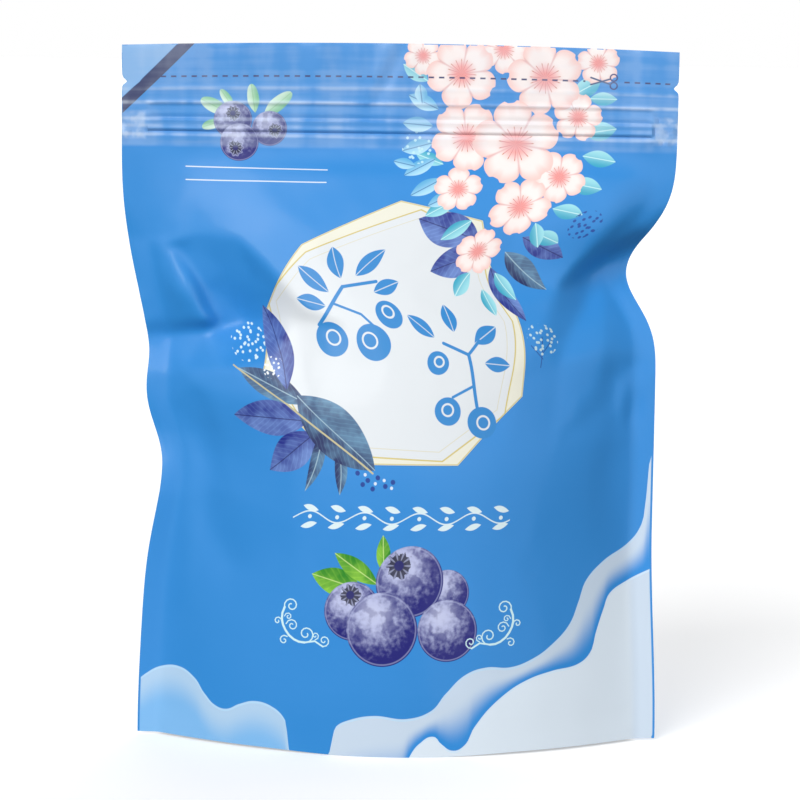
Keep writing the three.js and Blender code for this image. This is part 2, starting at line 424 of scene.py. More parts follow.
bpy.ops.object.modifier_add(type="CLOTH")
cloth = pouch.modifiers[-1]
film = cloth.settings
film.quality = 5
film.mass = 0.1
film.tension_stiffness = film.compression_stiffness = 60
film.shear_stiffness = 40
film.bending_stiffness = 6
film.tension_damping = film.compression_damping = film.shear_damping = 10
film.bending_damping = 2
film.air_damping = 2
film.vertex_group_mass = "held"
film.rest_shape_key = flat_key
film.use_pressure = True
film.uniform_pressure_force = 3
film.effector_weights.gravity = 0
cloth.collision_settings.use_collision = False
cloth.point_cache.frame_end = SETTLE_FRAMES
for frame_number in range(1, SETTLE_FRAMES + 1):
    scene.frame_set(frame_number)
settled_mesh = pouch.evaluated_get(bpy.context.evaluated_depsgraph_get()).data
settled = np.empty(len(mesh.vertices) * 3, np.float32)
settled_mesh.vertices.foreach_get("co", settled)
settled = settled.reshape(-1, 3) / MM

pouch.modifiers.remove(cloth)
pouch.vertex_groups.clear()
pouch.shape_key_clear()
scene.frame_set(1)
moved = settled - started
distance = np.linalg.norm(moved, axis=1, keepdims=True)
most_moved = 0.5 + MOST_MOVED * smooth(up, 60, 130)[:, None]
moved *= np.tanh(distance / most_moved) * most_moved / np.maximum(distance, 1e-6)
move_points(started + moved)
print("settled: moved by", round(float(distance.mean()), 2), "mm on average,",
      round(float(distance.max()), 1), "mm at most")

# %% [markdown]
# ## A finer film
#
# Subdividing the settled film makes it smooth enough for sharp highlights. The side edges, the top edge and
# the foot ring are marked as creased edges first, so that subdividing doesn't pull them in.

# %% Smooth film
subdivided = pouch.modifiers.new("finer film", "SUBSURF")
subdivided.levels = subdivided.render_levels = 1
subdivided.boundary_smooth = "PRESERVE_CORNERS"
edge_crease = mesh.attributes.new("crease_edge", "FLOAT", "EDGE")
edge_points = np.empty(len(mesh.edges) * 2, int)
mesh.edges.foreach_get("vertices", edge_points)
edge_points = edge_points.reshape(-1, 2)
at_side = np.abs(across) > 0.9999
at_top = up > FILM_TOP - 0.01
skirt = (up == 0) & (side != 0)
kept_sharp = np.zeros(len(mesh.edges), bool)
for on_line in (at_side, at_top, skirt):
    kept_sharp |= on_line[edge_points].all(axis=1)
edge_crease.data.foreach_set("value", kept_sharp.astype(np.float32))
bpy.ops.object.modifier_apply(modifier=subdivided.name)
print("finer film:", len(mesh.vertices), "points,", len(mesh.polygons), "faces")

# %% [markdown]
# ## Creases
#
# The solver leaves soft folds. Where the stiff seals buckle, real film also keeps creases: on the right a
# long crest with a deep valley under it, on the left a flap that is folded over. Between two creases the
# film is stiff and stays nearly flat. So the creases are stated as runs of points with heights, flat patches
# are laid between the runs, and the edges of the patches are rounded off by averaging. Only the front has
# them.

# %% Front creases
# The runs along which the film turns over. Points are (x, z, height), where a height is how far the film
# stands out. At the border of a buckle the height is nought.
RIGHT_EDGE_RUN = [(103, 222, 0), (103, 200, 0.5), (103, 186, -1), (103, 176, -1.5), (103, 160, -0.5),
                  (103, 148, 0), (103, 98, 0)]
RIGHT_RUNS = [
    [(98, 210, 0.2), (94.2, 207, 0.5), (86.7, 198.5, 2), (80.4, 192, 3.2), (73, 184.6, 4.2), (65.5, 177, 4.5),
     (59, 170, 3.2), (57, 166, 2), (53.8, 158, 0.6), (50, 148, 0)],
    [(96, 196, 0.5), (88, 189.5, 1.2), (79, 184.5, 2), (72, 179.5, 2.2), (64.5, 173.2, 2)],
    [(95, 184, -1.8), (88.7, 183.2, -2.9), (83.6, 180.8, -3.9), (77, 176.6, -4.7), (70, 172.4, -4.1),
     (63.5, 168.6, -1.8)],
    [(94, 176, -1.6), (86, 174.5, -2.8), (79, 172.5, -3.6), (74.5, 170, -3.2)],
    [(74.5, 170, -3.2), (67.5, 160, -3.6), (61, 150, -3), (58, 140, -1.4)],
    [(74.5, 170, -3.2), (81, 161, -2.2), (87, 152, -1.4), (91, 142, -0.4)],
    [(74.5, 170, -3.2), (75, 157, -0.6), (75, 146, 0.6), (73, 134, 0)],
    [(80, 136, -1.2), (78, 126, -0.8)],
    [(85.2, 131, -0.2), (85.4, 122, -1.2), (85.8, 113, -0.2)],
    [(82.6, 131, 0.2), (82.6, 122, 0.5), (83, 113, 0.2)],
    [(89, 131, 0.1), (89.2, 122, 0), (89.4, 113, 0)],
]
RIGHT_BORDER = [(60, 222), (46, 205), (40, 180), (36, 160), (40, 135), (55, 112), (80, 98)]
LEFT_EDGE_RUN = [(-101, 222, 0), (-101, 200, 0), (-101, 184, -2), (-101, 170, -2.2), (-101, 158, -1.2),
                 (-101, 150, -0.6), (-101, 140, -0.5), (-101, 131, 0), (-101, 116, -0.5), (-101, 100, 0),
                 (-101, 88, 0)]
LEFT_RUNS = [
    [(-91, 183, 0), (-85.5, 180.5, 1.3), (-80.4, 176, 1.1), (-74.5, 167.4, 0), (-71.3, 159.4, -0.9),
     (-68.4, 154.3, -2.1)],
    [(-91, 174, 0.2), (-86, 171, 1.4), (-80, 165, 1.5), (-71.3, 159.4, -0.9)],
    [(-89, 162, 0.4), (-80, 159.5, 0.8), (-71.3, 159.4, -0.9)],
    [(-79, 180, -1), (-75.5, 174.5, -2.4), (-70.5, 166.5, -4.8), (-67.5, 159, -6.8), (-65, 154.5, -8.4)],
    [(-87, 153.5, 0), (-78, 153.5, -0.6), (-68.4, 154.3, -2.1)],
    [(-86, 147.5, -2.6), (-78, 148.5, -4.4), (-70, 149.6, -6.6), (-64.5, 151.5, -9.8), (-55, 153, -12),
     (-46, 154, -9), (-37, 156, -3.4)],
    [(-88, 134.5, 0.4), (-76, 135, 0.8), (-62, 137, 0.2), (-48, 140, 0)],
    [(-90, 112, -1), (-75, 113, -1.5), (-62, 115, -0.8)],
    [(-85.5, 180.5, 1.3), (-72, 185, 0.8), (-58, 184.5, 1.2), (-49, 177, 1.2), (-40, 168, 0.8),
     (-33, 160, 0.2)],
    [(-70, 177.5, -1.6), (-62, 172.5, -3.6), (-53, 171, -4), (-46, 167, -3)],
    [(-63, 163, -7.4), (-54, 162, -8.2), (-45, 161, -6)],
]
LEFT_BORDER = [(-72, 206), (-44, 204), (-22, 186), (-16, 154), (-30, 120), (-60, 92)]
CREASE_ROUNDS = 6  # how often the patches are averaged
# How far a seal's outer edge is twisted to the back, at which height, and how far up and down.
RIGHT_TWIST, LEFT_TWIST = (3, 177, 11), (2, 112, 12)


def creased(runs, border, x, z):
    """The height of a creased patch, which is flat between neighbouring points of its runs and border."""
    points = [point for run in runs for point in run] + [(*place, 0) for place in border]
    joins, start = [], 0
    for run in runs:
        joins += [(start + step, start + step + 1) for step in range(len(run) - 1)]
        start += len(run)
    places = [Vector(point[:2]) for point in points]
    corners, _, facets, given, _, _ = delaunay_2d_cdt(places, joins, [], 0, 0.01)
    height = np.zeros_like(x)
    for facet in facets:
        (ax, az), (bx, bz), (cx, cz) = (corners[corner] for corner in facet)
        height_at = [points[given[corner][0]][2] for corner in facet]
        area = (bx - ax) * (cz - az) - (cx - ax) * (bz - az)
        share_b = ((x - ax) * (cz - az) - (cx - ax) * (z - az)) / area
        share_c = ((bx - ax) * (z - az) - (x - ax) * (bz - az)) / area
        share_a = 1 - share_b - share_c
        inside = np.minimum(np.minimum(share_a, share_b), share_c) >= 0
        here = height_at[0] * share_a + height_at[1] * share_b + height_at[2] * share_c
        height = np.where(inside, here, height)
    return height


def softened(height, rounds):
    """Round the creases off by averaging every point with its neighbours."""
    ends = np.empty(len(mesh.edges) * 2, int)
    mesh.edges.foreach_get("vertices", ends)
    one, other = ends.reshape(-1, 2).T
    count = np.bincount(one, minlength=len(height)) + np.bincount(other, minlength=len(height))
    for _ in range(rounds):
        around = np.bincount(one, height[other], len(height)) + np.bincount(other, height[one], len(height))
        height = mix(height, around / count, 0.5)
    return height


def twisted(z, most, height, reach):
    """How far the seal's edge is twisted at each height."""
    return most * np.exp(-(((z - height) / reach) ** 2))


across, up, side = numbers("across"), numbers("up"), numbers("side")
position = numbers("position")
x, z = position[:, 0], position[:, 2]
# The seals are welded, so there the back follows the front.
follows = np.where(side < 0, 1, smooth(np.abs(across), 0.84, 0.93)) * (1 - smooth(z, 206, 216))
creases = creased([RIGHT_EDGE_RUN, *RIGHT_RUNS], RIGHT_BORDER, x, z)
creases += creased([LEFT_EDGE_RUN, *LEFT_RUNS], LEFT_BORDER, x, z)
creases = softened(creases, CREASE_ROUNDS) * follows
# Beside a crease the seal is twisted too: its outer edge turns to the back.
on_seal = np.clip((np.abs(across) * HALF_REACH - (HALF_REACH - SIDE_SEAL)) / SIDE_SEAL, 0, 1)
twist = on_seal * np.where(across > 0, twisted(z, *RIGHT_TWIST), twisted(z, *LEFT_TWIST))
position[:, 1] += twist - creases
move_points(position)
print("creases:", round(float(creases.min()), 1), "to", round(float(creases.max()), 1), "mm")

# %% [markdown]
# ## Zip and seal relief
#
# The press zip is a strip of plastic inside the mouth. It pushes the film out in a low step with a groove
# on either side, and above it the top seal starts with a fine ridge. Near the side edges the zip was crushed
# by the sealing bars, so it ends there in a rumpled patch. The sealed strip over it is a little wavy.

# %% Zip and seal relief
# How far the film stands out at each height, in millimetres.
ZIP_PROFILE = [(217.5, 0), (220.2, 0.3), (221.6, -0.35), (222.6, 0.75), (224.1, 0.5), (225.7, 0.8),
               (226.7, -0.3), (228.2, 0.2), (231.2, 0.05), (232.4, 0.7), (233.3, 0.05), (237.2, 0.1),
               (237.9, 0.25), (238.8, 0), (254, 0)]
ZIP_CRUSH = 9  # how far the crushed ends reach in from the side edges
CRUSHED_FROM, CRUSHED_TO = 218.5, 229.5
across, up, side = numbers("across"), numbers("up"), numbers("side")
position = numbers("position")
x, z = position[:, 0], up - FILM_BELLY + ZIP_FOOT


def wander(x, z, length, seed):
    """A smooth random height between -1 and 1 that changes over the given length."""
    random = np.random.default_rng(seed)
    total = np.zeros_like(x)
    for _ in range(6):
        angle, phase = random.uniform(0, 2 * math.pi, 2)
        turn = 2 * math.pi / (length * random.uniform(0.7, 1.4))
        total += np.sin((x * math.cos(angle) + z * math.sin(angle)) * turn + phase)
    return total / 3


in_mouth = smooth(z, 212, 222)
from_crush = np.abs(across) * HALF_REACH - (HALF_REACH - ZIP_CRUSH)
crushed = smooth(from_crush, -1.2, 0.4)
crushed_patch = crushed * smooth(z, CRUSHED_FROM - 1.5, CRUSHED_FROM)
crushed_patch *= 1 - smooth(z, CRUSHED_TO, CRUSHED_TO + 1.5)
step = np.interp(z, *zip(*ZIP_PROFILE)) * (1 - crushed)
rim = np.exp(-((from_crush / 0.9) ** 2)) * 0.6
step += rim * smooth(z, CRUSHED_FROM, CRUSHED_FROM + 2) * (1 - smooth(z, CRUSHED_TO - 2, CRUSHED_TO))
free = (1 - smooth(np.abs(across), 0.985, 1)) * (side != 0)

ripples = wander(x, z * 0.15, 17, 5) * 0.35 + wander(x, z * 0.3, 7, 11) * 0.1
# A pinch in the sealed strip, left of the middle: a crease that leans to the right, with a dent beside it.
pinch = np.exp(-(((x + 3 - (z - 244) * 0.45) / 2.2) ** 2))
pinch -= 0.7 * np.exp(-(((x + 8 - (z - 244) * 0.4) / 2.4) ** 2))
waves = ripples + 0.7 * pinch * smooth(z, 226, 244)
rumple = wander(x, z, 3.4, 3) * 0.4
position[:, 1] += side * step * free + (waves * in_mouth + rumple * crushed_patch) * (z > 200)
move_points(position)
print("zip step:", max(out for _, out in ZIP_PROFILE), "mm")
print("seal waves:", round(float(np.ptp(waves)), 1), "mm")

# %% [markdown]
# ## Smooth shading
#
# Film has no facets, so faces that meet at a small angle are shaded as one surface. The seams, where film
# turns back on itself, stay sharp.

# %% Smooth shading
SHARP_FROM = math.radians(40)
bpy.ops.object.shade_smooth_by_angle(angle=SHARP_FROM)
print("sharp from:", round(math.degrees(SHARP_FROM)), "degrees")

# %% [markdown]
# ## Printing with nodes
#
# The pouch is printed in flat inks, so its picture is drawn with shader nodes on the film map, in real
# millimetres. A shape is a number that is negative inside and positive outside, as a cutter would measure
# its distance to the line, and an ink fills where the number is below nought. A few helpers let the nodes
# be written as sums, so that each motif below reads like a recipe.

# %% Numbers that vary over the film
drawing = None  # the node tree that is being drawn in


def wire(kind, inputs, **settings):
    """A new node with its first inputs wired to fields or set to values."""
    node = drawing.nodes.new(kind)
    for name, value in settings.items():
        setattr(node, name, value)
    for socket, value in zip(node.inputs, inputs):
        if isinstance(value, Field):
            drawing.links.new(value.socket, socket)
        elif value is not None:
            socket.default_value = value
    return node


def calc(operation, *inputs):
    """One sum, by its name in Blender."""
    return Field(wire("ShaderNodeMath", inputs, operation=operation).outputs[0])


class Field:
    """The output of a node, which can be added, multiplied and compared like a number."""

    def __init__(self, socket):
        self.socket = socket

    def __add__(self, other):
        return calc("ADD", self, other)

    def __sub__(self, other):
        return calc("SUBTRACT", self, other)

    def __rsub__(self, other):
        return calc("SUBTRACT", other, self)

    def __mul__(self, other):
        return calc("MULTIPLY", self, other)

    def __truediv__(self, other):
        return calc("DIVIDE", self, other)

    def __abs__(self):
        return calc("ABSOLUTE", self)

    __radd__, __rmul__ = __add__, __mul__


def either(*shapes):
    """The union of shapes."""
    joined = shapes[0]
    for shape in shapes[1:]:
        joined = calc("MINIMUM", joined, shape)
    return joined


def both(*shapes):
    """Where shapes overlap."""
    joined = shapes[0]
    for shape in shapes[1:]:
        joined = calc("MAXIMUM", joined, shape)
    return joined


def ramp(value, start, end, low=0.0, high=1.0):
    """From low before the start to high past the end, with soft ends."""
    inputs = [value, start, end, low, high]
    return Field(wire("ShaderNodeMapRange", inputs, interpolation_type="SMOOTHSTEP").outputs[0])


print("helpers for numbers are ready")

# %% [markdown]
# ## Places and distances
#
# A motif has to know how far each spot of the film is from its own lines and points. These helpers read the
# film map and measure those distances, to a point, a line or a direction.

# %% Places on the film


def parted(place):
    """How far across and how far up a place is."""
    parts = wire("ShaderNodeSeparateXYZ", [place])
    return Field(parts.outputs[0]), Field(parts.outputs[1])


def film_place():
    """The place on the film, in millimetres, the same way round on the front and the back."""
    place = Field(wire("ShaderNodeUVMap", [], uv_map="film").outputs[0])
    u, v = parted(place)
    behind = calc("GREATER_THAN", u, BACK_SHEET_AT / 2)
    return place, u - behind * BACK_SHEET_AT, v


def vector(operation, *inputs):
    return wire("ShaderNodeVectorMath", inputs, operation=operation)


def from_point(place, point):
    """The way from a point to the place."""
    return Field(vector("SUBTRACT", place, (*point, 0)).outputs[0])


def dot(place, direction):
    """How far a place lies in a direction."""
    return Field(vector("DOT_PRODUCT", place, (*direction, 0)).outputs["Value"])


def disc(place, middle, radius):
    """Distance to the rim of a disc."""
    return Field(vector("DISTANCE", place, (*middle, 0)).outputs["Value"]) - radius


def frame_at(place, base, tip):
    """Distances along and across the line from base to tip, and its length."""
    run = np.subtract(tip, base)
    length = float(np.hypot(*run))
    along, sideways = run / length, np.array([-run[1], run[0]]) / length
    from_base = from_point(place, base)
    return dot(from_base, along), dot(from_base, sideways), length


def turn_round(place, middle):
    """The angle at which a place lies round a middle."""
    u, v = parted(from_point(place, middle))
    return calc("ARCTAN2", v, u)


def line(place, start, end, width):
    """Distance to a stroke with round ends."""
    along, off, length = frame_at(place, start, end)
    past = calc("MAXIMUM", calc("ABSOLUTE", along - length / 2) - length / 2, 0)
    return calc("SQRT", past * past + off * off) - width / 2


print("helpers for places are ready")

# %% [markdown]
# ## Inks
#
# Inks are given as they look in the photograph, where the gloss of the film lies over them as a faint white.
# That white is taken off again, because the shader adds it. A wide, uneven grain is used where a print or
# its gloss isn't quite even.

# %% Inks
EDGE_BLUR = 0.14  # how soft a printed edge is
SHEEN = 0.042  # white light that the gloss of the film adds over every ink


def ink(r, g, b):
    """A printed colour, from its red, green and blue as seen under the gloss."""
    screen = np.array([r, g, b]) / 255
    seen = np.where(screen > 0.04045, ((screen + 0.055) / 1.055) ** 2.4, screen / 12.92)
    return (*map(float, np.maximum(seen - SHEEN, 0.003)), 1.0)


def blend(share, under, over):
    """One colour over another, by a share from 0 to 1."""
    node = drawing.nodes.new("ShaderNodeMix")
    node.data_type = "RGBA"
    for socket, value in zip((node.inputs[0], node.inputs[6], node.inputs[7]), (share, under, over)):
        if isinstance(value, Field):
            drawing.links.new(value.socket, socket)
        else:
            socket.default_value = value
    return Field(node.outputs[2])


def fill(under, shape, colour, strength=1.0):
    """Ink inside a shape, over what is printed already."""
    return blend(ramp(shape, -EDGE_BLUR, EDGE_BLUR, strength, 0.0), under, colour)


def grain(place, scale, detail=2.0, stretch=(1, 1)):
    """Uneven grey, from 0 to 1, that changes about so many times a millimetre."""
    stretched = Field(vector("MULTIPLY", place, (*stretch, 1)).outputs[0])
    noise = wire("ShaderNodeTexNoise", [], noise_dimensions="2D")
    drawing.links.new(stretched.socket, noise.inputs["Vector"])
    noise.inputs["Scale"].default_value = scale
    noise.inputs["Detail"].default_value = detail
    return Field(noise.outputs[0])


GROUND_BLUE = ink(69, 143, 213)
PALE_BLUE = ink(221, 233, 244)
WHITE_INK = ink(240, 244, 247)
NAVY = ink(38, 62, 118)
print("the film's blue as light:", *(round(part, 3) for part in GROUND_BLUE[:3]))

# %% [markdown]
# ## The ground and its waves
#
# Most of the film is one blue. Pale waves run along the foot and up the right side: the far ones fade into
# blue like water, and a near one is flat and pale, with painted shade over the right seal. Each wave's edge
# is a curve drawn through points that were measured on the film, and a brighter rim follows it.

# %% Wave edges
# Places on the flat film (across, up), in millimetres.
FAR_WAVES = [(-100, 20), (-97.8, 22.1), (-92, 25.5), (-85.3, 26.5), (-78.6, 23.3), (-73.9, 17.5),
             (-69, 13.4), (-65.5, 12.8), (-60, 15.4), (-54.2, 17.2), (-47.6, 16), (-42.1, 11.2),
             (-40.4, 0), (-33, -6), (-25.5, 0), (-22.7, 10.8), (-17.4, 13.8), (-8.8, 15.6), (4, 14.7),
             (12.7, 17.4), (18.7, 24), (27, 31.1), (33.9, 32.9), (43.5, 32.3), (51.7, 34.7),
             (60.4, 40.1), (66.8, 46.2), (70.7, 54.4), (74, 62.3), (81, 68.6), (91.3, 74.2),
             (96, 80.6), (97.4, 88), (98.6, 104), (100, 108)]
NEAR_WAVE = [(-100, -12), (0, -12), (5, 0), (9, 5.4), (14, 7.9), (17, 5.1), (22, 2.2), (25.8, 3.9),
             (29.5, 10.5), (39.3, 20.9), (50.4, 27.2), (59.4, 29.5), (70.2, 31.1), (75.2, 35),
             (77.4, 41.6), (80.9, 50.6), (83.7, 56.3), (91.3, 60.4), (100, 64.6)]
CURVE_LOW, CURVE_SPAN = -15.0, 130.0  # the range of heights that a curve node holds
WATER_ENDS = -33  # the left waves' water ends here, across the film
BARE_EDGE = 0.8  # the waves stop this far from the side edges


def wave_edge(u, points):
    """The height of a wave's edge at each place across the film."""
    share = (u + HALF_REACH) / (2 * HALF_REACH)
    node = wire("ShaderNodeFloatCurve", [1.0, share])
    curve = node.mapping.curves[0]
    for across_mm, up_mm in points[1:-1]:
        curve.points.new((across_mm + HALF_REACH) / (2 * HALF_REACH), (up_mm - CURVE_LOW) / CURVE_SPAN)
    curve.points[0].location = (0, (points[0][1] - CURVE_LOW) / CURVE_SPAN)
    curve.points[-1].location = (1, (points[-1][1] - CURVE_LOW) / CURVE_SPAN)
    node.mapping.update()
    return Field(node.outputs[0]) * CURVE_SPAN + CURVE_LOW


def ground(u, v):
    """Blue film with its waves: what every motif is printed on."""
    far, near = wave_edge(u, FAR_WAVES), wave_edge(u, NEAR_WAVE)
    depth = far - v
    faded = ramp(depth / (far - near), 0.3, 0.95)
    left_water = ramp(depth, 2, 15)
    on_left = calc("LESS_THAN", u, WATER_ENDS)
    shade = blend(on_left, blend(faded, ink(200, 216, 233), ink(66, 145, 219)),
                  blend(left_water, ink(176, 206, 233), ink(130, 185, 234)))
    off_edge = abs(u) - (HALF_REACH - BARE_EDGE)
    colour = fill(GROUND_BLUE, both(depth * -1.0, off_edge), shade)
    colour = fill(colour, both(abs(depth - 0.5) - 0.4, off_edge), ink(184, 220, 248), 0.6)
    under_near = v - near
    # Painted shade: over the right seal the near wave is darkened, where the seal falls into shade.
    painted_seal_shade = ramp(u, 90, 93.5, 0, 0.7)
    colour = fill(colour, both(under_near, off_edge), blend(painted_seal_shade, PALE_BLUE, ink(192, 208, 226)))
    return fill(colour, both(abs(under_near + 0.5) - 0.4, off_edge), ink(206, 230, 250), 0.6)


print("wave points:", len(FAR_WAVES) + len(NEAR_WAVE))

# %% [markdown]
# ## Motifs
#
# Each printed motif is a small recipe: it takes the colour printed so far and puts its own inks on top. A
# motif also says which box of the film it reaches, because the film is later cut into zones with a material
# each, and a zone only draws the motifs that reach into it. That keeps every shader short.

# %% Leaves
motifs = []  # in printing order: (box, group)


def box_round(points, margin):
    """The box round some points: left, bottom, right and top."""
    points = np.array(points, float)
    return (*(points.min(0) - margin), *(points.max(0) + margin))


def print_motif(points, margin, draw):
    """Keep a motif as a group of nodes, from the colour so far and the place on the film to a colour."""
    global drawing
    drawing = bpy.data.node_groups.new(f"motif_{len(motifs)}", "ShaderNodeTree")
    drawing.interface.new_socket("colour", in_out="INPUT", socket_type="NodeSocketColor")
    drawing.interface.new_socket("place", in_out="INPUT", socket_type="NodeSocketVector")
    drawing.interface.new_socket("printed", in_out="OUTPUT", socket_type="NodeSocketColor")
    given, printed = drawing.nodes.new("NodeGroupInput"), drawing.nodes.new("NodeGroupOutput")
    colour = draw(Field(given.outputs[0]), Field(given.outputs[1]))
    drawing.links.new(colour.socket, printed.inputs[0])
    motifs.append((box_round(points, margin), drawing))


def print_leaf(base, tip, width, dark, light, vein, veins_every=0.0, blunt=False):
    """A leaf pointed at both ends, or else rounded off, darker on one side of its midrib."""

    def draw(colour, place):
        along, off, length = frame_at(place, base, tip)
        share = along / length
        shape = abs(off) - (share - share * share) * (2 * width)
        if blunt:
            round_off = calc("SQRT", calc("MAXIMUM", share - share * share, 0)) * width
            shape = either(both(abs(off) - round_off, 0.35 - share), shape)
            shape = both(shape, (share - 1) * length, share * -length)
        tone = ramp(off, -width / 2, width / 2)
        if veins_every:
            uneven = grain(place, 0.16, 2)
            wave = calc("SINE", (along - abs(off) * 1.3 + uneven * 3) * (2 * math.pi / veins_every))
            tone = tone * 0.5 + ramp(uneven, 0.35, 0.7, 0, 0.4) + ramp(wave, 0.4, 1, 0, 0.16)
        leaf = blend(tone, dark, light)
        leaf = fill(leaf, abs(off) - 0.17, vein, 0.8)
        return fill(colour, shape, leaf)

    print_motif([base, tip], width / 2, draw)


# The inks of a leaf: its dark side, its light side and its midrib.
SLATE = (ink(36, 66, 106), ink(112, 152, 182), ink(170, 198, 212))
VIOLET = (ink(42, 66, 142), ink(120, 148, 208), ink(34, 48, 108))
SKY = (ink(104, 176, 218), ink(176, 220, 240), ink(60, 108, 168))
TEAL = (ink(74, 168, 196), ink(160, 220, 229), ink(206, 240, 240))
LIME = (ink(126, 190, 146), ink(206, 231, 210), ink(146, 194, 150))
GREEN = (ink(52, 140, 44), ink(150, 206, 84), ink(206, 232, 150))
print("kinds of leaf:", len((SLATE, VIOLET, SKY, TEAL, LIME, GREEN)))

# %% [markdown]
# ## Berries
#
# A berry is a disc that darkens away from where the light falls on it. Wax lies on it in uneven patches, and
# where its crown is seen it's a ragged star with a dark pit.

# %% Berries


def print_berry(middle, radius, crown, dark, bloom, crown_ink):
    """A round berry: waxy bloom where it's lit, and the star of its crown."""
    middle = np.array(middle, float)
    lit = middle + radius * np.array([-0.25, 0.45])
    crown_at = middle + radius * np.array(crown or (0, 0))

    def draw(colour, place):
        shape = disc(place, middle, radius)
        fine = math.sqrt(7 / radius)
        wax = grain(place, 0.7 * fine, 3)
        shade = ramp(disc(place, lit, 0) + wax * (radius * 0.9), radius * 0.55, radius * 1.75)
        berry = blend(shade, bloom, dark)
        berry = blend(ramp(grain(place, 0.24 * fine, 3), 0.46, 0.62, 0, 0.62), berry, dark)
        berry = blend(ramp(disc(place, lit, 0), 0, radius * 0.7, 0.35, 0), berry, ink(214, 218, 240))
        berry = fill(berry, abs(shape + radius * 0.05) - radius * 0.02, bloom, 0.35)
        if not crown:
            return fill(colour, shape, berry)
        turn = turn_round(place, crown_at)
        out = disc(place, crown_at, 0)
        star = out - (calc("COSINE", turn * 10) * 0.04 + grain(place, 0.5, 2) * 0.25 + 0.26) * radius
        berry = fill(berry, abs(star) - radius * 0.04, bloom, 0.4)
        berry = fill(berry, star + radius * 0.04, crown_ink, 0.9)
        rays = ramp(calc("COSINE", turn * 10), 0.2, 1, 0, 0.5) * ramp(out, radius * 0.12, radius * 0.2)
        berry = blend(rays * ramp(star, -0.6, -0.2, 1, 0), berry, bloom)
        berry = fill(berry, out - radius * 0.14, dark, 0.7)
        return fill(colour, shape, berry)

    print_motif([middle], radius, draw)


DUSK = (ink(44, 56, 128), ink(186, 192, 228), ink(24, 30, 74))
print("berries can be printed")

# %% [markdown]
# ## Blossoms
#
# Five petals come from the cosine of the angle round the middle: raised to a low power it gives round petals
# with narrow gaps. The same angle, counted more finely, draws the threads in the heart.

# %% Blossoms


def print_blossom(middle, radius, turned):
    """A five-petalled blossom, deeper pink at the heart and along the petal tips."""

    def draw(colour, place):
        turn = turn_round(place, middle) + turned
        out = disc(place, middle, 0) / radius
        petal = abs(calc("COSINE", turn * 2.5))
        reach = calc("POWER", petal, 0.45) * 0.36 + 0.64 - ramp(petal, 0.93, 1.0, 0, 0.07)
        shape = (out - reach) * radius
        flower = blend(ramp(out, 0.1, 0.5), ink(238, 160, 156), ink(243, 232, 229))
        flower = blend(ramp(out - reach, -0.32, 0.02, 0, 0.75), flower, ink(240, 190, 182))
        flower = blend(ramp(petal, 0.0, 0.22, 0.55, 0), flower, ink(214, 160, 160))
        thread = ramp(calc("COSINE", turn * 15), 0.75, 0.95) * ramp(out, 0.34, 0.38, 1, 0)
        flower = blend(thread * 0.6, flower, ink(206, 104, 110))
        pollen = abs(out - 0.37) * radius + ramp(calc("COSINE", turn * 15), 0.8, 1, 0.5, -0.45)
        flower = fill(flower, pollen, ink(196, 120, 74), 0.8)
        return fill(colour, shape, flower)

    print_motif([middle], radius, draw)


print("blossoms can be printed")

# %% [markdown]
# ## Strokes, dots and rings
#
# The rest of the artwork is made of a few plain shapes: strokes with round ends, discs, rings, and sprays of
# tiny dots, which a cell pattern scatters.

# %% Strokes, discs, rings and sprays


def print_lines(lines, colour_of_ink, strength=1.0):
    """Straight strokes: (start, end, width) each."""

    def draw(colour, place):
        return fill(colour, either(*(line(place, *stroke) for stroke in lines)), colour_of_ink, strength)

    print_motif([point for stroke in lines for point in stroke[:2]], 1, draw)


def print_discs(discs, colour_of_ink):
    """Discs: (middle, radius) each."""

    def draw(colour, place):
        return fill(colour, either(*(disc(place, *round_dot) for round_dot in discs)), colour_of_ink)

    print_motif([middle for middle, _ in discs], max(radius for _, radius in discs), draw)


def print_rings(rings, colour_of_ink):
    """Rings: (middle, radius, width) each."""

    def draw(colour, place):
        parts = [abs(disc(place, middle, radius)) - width / 2 for middle, radius, width in rings]
        return fill(colour, either(*parts), colour_of_ink)

    print_motif([ring[0] for ring in rings], max(ring[1] + ring[2] for ring in rings), draw)


def print_spray(middle, radius, colour_of_ink, spacing=2.1, dot_radius=0.5):
    """A loose spray of tiny flowers: dots that thin out away from the middle."""

    def draw(colour, place):
        cells = wire("ShaderNodeTexVoronoi", [], voronoi_dimensions="2D", feature="F1")
        drawing.links.new(place.socket, cells.inputs["Vector"])
        cells.inputs["Scale"].default_value = 1 / spacing
        dots = Field(cells.outputs["Distance"]) * spacing - dot_radius
        return fill(colour, both(dots, disc(place, middle, radius)), colour_of_ink, 0.9)

    print_motif([middle], radius, draw)


print("strokes, rings and sprays can be printed")

# %% [markdown]
# ## The plaque
#
# A white plaque with many straight sides carries the middle of the front. It's a convex polygon, so its
# shape is simply the largest of its distances to its sides. A second, slightly turned polygon is drawn on it
# in thin gold lines, and cream shows between the two. The picture on it is a plain sprig in flat blue.

# %% Plaque
PLAQUE = [(2, 203), (-32, 186), (-51, 160), (-54.5, 136), (-27, 107), (20, 107), (47, 131), (50, 168),
          (34, 196)]
GOLD_LINES = [(10, 199.5), (-30, 183), (-48, 166), (-49.5, 140), (-31, 110.5), (14, 108.5), (40, 124.5),
              (46.5, 158), (40, 186)]
GOLD = ink(206, 190, 120)
CREAM = ink(228, 227, 212)
PAPER = ink(218, 223, 227)
FLAT_BLUE = ink(67, 139, 203)


def polygon(place, corners):
    """Distance to a convex polygon whose corners run to the left."""
    sides = []
    for start, end in zip(corners, corners[1:] + corners[:1]):
        run = np.subtract(end, start) / np.hypot(*np.subtract(end, start))
        outwards = np.array([run[1], -run[0]])
        sides.append(dot(place, outwards) - float(outwards @ start))
    return both(*sides)


